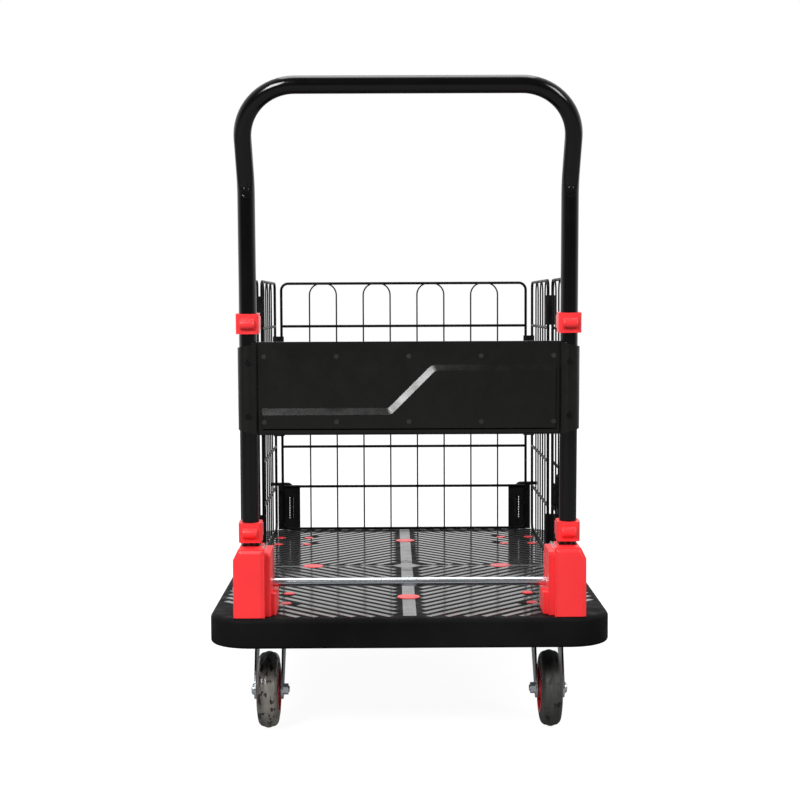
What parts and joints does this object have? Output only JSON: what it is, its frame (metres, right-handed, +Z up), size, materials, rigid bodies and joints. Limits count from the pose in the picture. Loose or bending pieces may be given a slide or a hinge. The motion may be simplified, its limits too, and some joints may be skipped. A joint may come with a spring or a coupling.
{
  "type": "folding platform cart",
  "caption": "Flat platform cart on casters with a fold-down push handle, red pivot brackets, a release bar and a lift-off fence of hinged wire mesh leaves.",
  "frame": {"origin": "on the floor, under the centre of the deck", "axes": "+Z up, +X across the deck to the right of the person pushing, +Y forwards along the deck, with the handle at the -Y end"},
  "size_m": [0.51, 0.8515, 0.8321],
  "materials": {
    "deck_plastic": "moulded, semi-gloss, with fine raised ribs",
    "strip_plastic": "pale inlay strip",
    "red_plastic": "saturated red, semi-gloss",
    "zinc_steel": "bright zinc plate",
    "black_tube": "gloss black powder coat",
    "guard_plastic": "semi-matte charcoal",
    "fence_wire": "black powder coat",
    "black_steel": "black paint",
    "grey_rubber": "grey rubber"
  },
  "bodies": {
    "platform": {"deck": "deck_plastic", "deck_strips": "strip_plastic", "grip_discs": "red_plastic", "bolt_caps": "red_plastic", "deck_bolts": "zinc_steel", "pivot_bolts": "zinc_steel", "bar_spring_left": "zinc_steel", "bar_spring_right": "zinc_steel", "king_pins": "zinc_steel", "far_axles": "zinc_steel", "bracket_housing_left": "red_plastic", "bracket_housing_right": "red_plastic", "bracket_cover_left": "red_plastic", "bracket_cover_right": "red_plastic", "bracket_plate_left": "zinc_steel", "bracket_plate_right": "zinc_steel", "swivel_plate_left": "zinc_steel", "swivel_plate_right": "zinc_steel", "rigid_fork_left": "zinc_steel", "rigid_fork_right": "zinc_steel"},
    "handle": {"handle_tube": "black_tube", "guard_panel": "guard_plastic", "guard_screws": "zinc_steel", "lower_clip_left": "red_plastic", "lower_clip_right": "red_plastic", "upper_clip_left": "red_plastic", "upper_clip_right": "red_plastic"},
    "release_bar": {"release_bar": "zinc_steel"},
    "fence": {"far_panel": "fence_wire", "corner_hinges_left": "black_steel", "corner_hinges_right": "black_steel", "latch_plate_left": "black_steel", "latch_plate_right": "black_steel", "drop_bolt_spring_left": "black_steel", "drop_bolt_spring_right": "black_steel"},
    "drop_bolt_left": {"drop_bolt_left": "black_steel"},
    "far_leaf_left": {"far_leaf_left": "fence_wire", "middle_hinges_left": "black_steel"},
    "near_leaf_left": {"near_leaf_left": "fence_wire", "middle_bolt_guide_left": "black_steel"},
    "middle_bolt_left": {"middle_bolt_left": "black_steel"},
    "swivel_left": {"swivel_fork_left": "zinc_steel", "near_axle_left": "zinc_steel"},
    "near_wheel_left": {"near_tyre_left": "grey_rubber", "near_hub_left": "red_plastic"},
    "far_wheel_left": {"far_tyre_left": "grey_rubber", "far_hub_left": "red_plastic"},
    "drop_bolt_right": {"drop_bolt_right": "black_steel"},
    "far_leaf_right": {"far_leaf_right": "fence_wire", "middle_hinges_right": "black_steel"},
    "near_leaf_right": {"near_leaf_right": "fence_wire", "middle_bolt_guide_right": "black_steel"},
    "middle_bolt_right": {"middle_bolt_right": "black_steel"},
    "swivel_right": {"swivel_fork_right": "zinc_steel", "near_axle_right": "zinc_steel"},
    "near_wheel_right": {"near_tyre_right": "grey_rubber", "near_hub_right": "red_plastic"},
    "far_wheel_right": {"far_tyre_right": "grey_rubber", "far_hub_right": "red_plastic"}
  },
  "joints": [
    {"name": "handle_fold", "type": "hinge", "parent": "platform", "child": "handle", "pos_m": [0, -0.357, 0.19], "axis": [-1, 0, 0], "range_deg": [0, 92.8]},
    {"name": "release_bar_lift", "type": "slide", "parent": "platform", "child": "release_bar", "axis": [0, 0, 1], "range_m": [0, 0.02], "stiffness_N_per_m": 300, "springref_m": -0.02, "deforming": ["bar_spring_left", "bar_spring_right"]},
    {"name": "fence_lift", "type": "slide", "parent": "platform", "child": "fence", "axis": [0, 0, 1], "range_m": [0, 0.3]},
    {"name": "drop_bolt_lift_left", "type": "slide", "parent": "fence", "child": "drop_bolt_left", "axis": [0, 0, 1], "range_m": [0, 0.018], "stiffness_N_per_m": 200, "springref_m": -0.015, "deforming": ["drop_bolt_spring_left"]},
    {"name": "far_leaf_swing_left", "type": "hinge", "parent": "fence", "child": "far_leaf_left", "pos_m": [-0.2225, 0.384, 0.38], "axis": [0, 0, -1], "range_deg": [0, 90]},
    {"name": "near_leaf_swing_left", "type": "hinge", "parent": "far_leaf_left", "child": "near_leaf_left", "pos_m": [-0.2295, 0.103, 0.38], "axis": [0, 0, -1], "range_deg": [0, 150]},
    {"name": "middle_bolt_slide_left", "type": "slide", "parent": "near_leaf_left", "child": "middle_bolt_left", "axis": [0, 0, 1], "range_m": [-0.012, 0]},
    {"name": "swivel_turn_left", "type": "hinge", "parent": "platform", "child": "swivel_left", "pos_m": [-0.185, -0.265, 0.11], "axis": [0, 0, 1], "continuous": true},
    {"name": "near_wheel_spin_left", "type": "hinge", "parent": "swivel_left", "child": "near_wheel_left", "pos_m": [-0.185, -0.303, 0.05], "axis": [1, 0, 0], "continuous": true},
    {"name": "far_wheel_spin_left", "type": "hinge", "parent": "platform", "child": "far_wheel_left", "pos_m": [-0.185, 0.255, 0.05], "axis": [1, 0, 0], "continuous": true},
    {"name": "drop_bolt_lift_right", "type": "slide", "parent": "fence", "child": "drop_bolt_right", "axis": [0, 0, 1], "range_m": [0, 0.018], "stiffness_N_per_m": 200, "springref_m": -0.015, "deforming": ["drop_bolt_spring_right"]},
    {"name": "far_leaf_swing_right", "type": "hinge", "parent": "fence", "child": "far_leaf_right", "pos_m": [0.2225, 0.384, 0.38], "axis": [0, 0, 1], "range_deg": [0, 90]},
    {"name": "near_leaf_swing_right", "type": "hinge", "parent": "far_leaf_right", "child": "near_leaf_right", "pos_m": [0.2295, 0.103, 0.38], "axis": [0, 0, 1], "range_deg": [0, 150]},
    {"name": "middle_bolt_slide_right", "type": "slide", "parent": "near_leaf_right", "child": "middle_bolt_right", "axis": [0, 0, 1], "range_m": [-0.012, 0]},
    {"name": "swivel_turn_right", "type": "hinge", "parent": "platform", "child": "swivel_right", "pos_m": [0.185, -0.265, 0.11], "axis": [0, 0, 1], "continuous": true},
    {"name": "near_wheel_spin_right", "type": "hinge", "parent": "swivel_right", "child": "near_wheel_right", "pos_m": [0.185, -0.303, 0.05], "axis": [1, 0, 0], "continuous": true},
    {"name": "far_wheel_spin_right", "type": "hinge", "parent": "platform", "child": "far_wheel_right", "pos_m": [0.185, 0.255, 0.05], "axis": [1, 0, 0], "continuous": true}
  ]
}
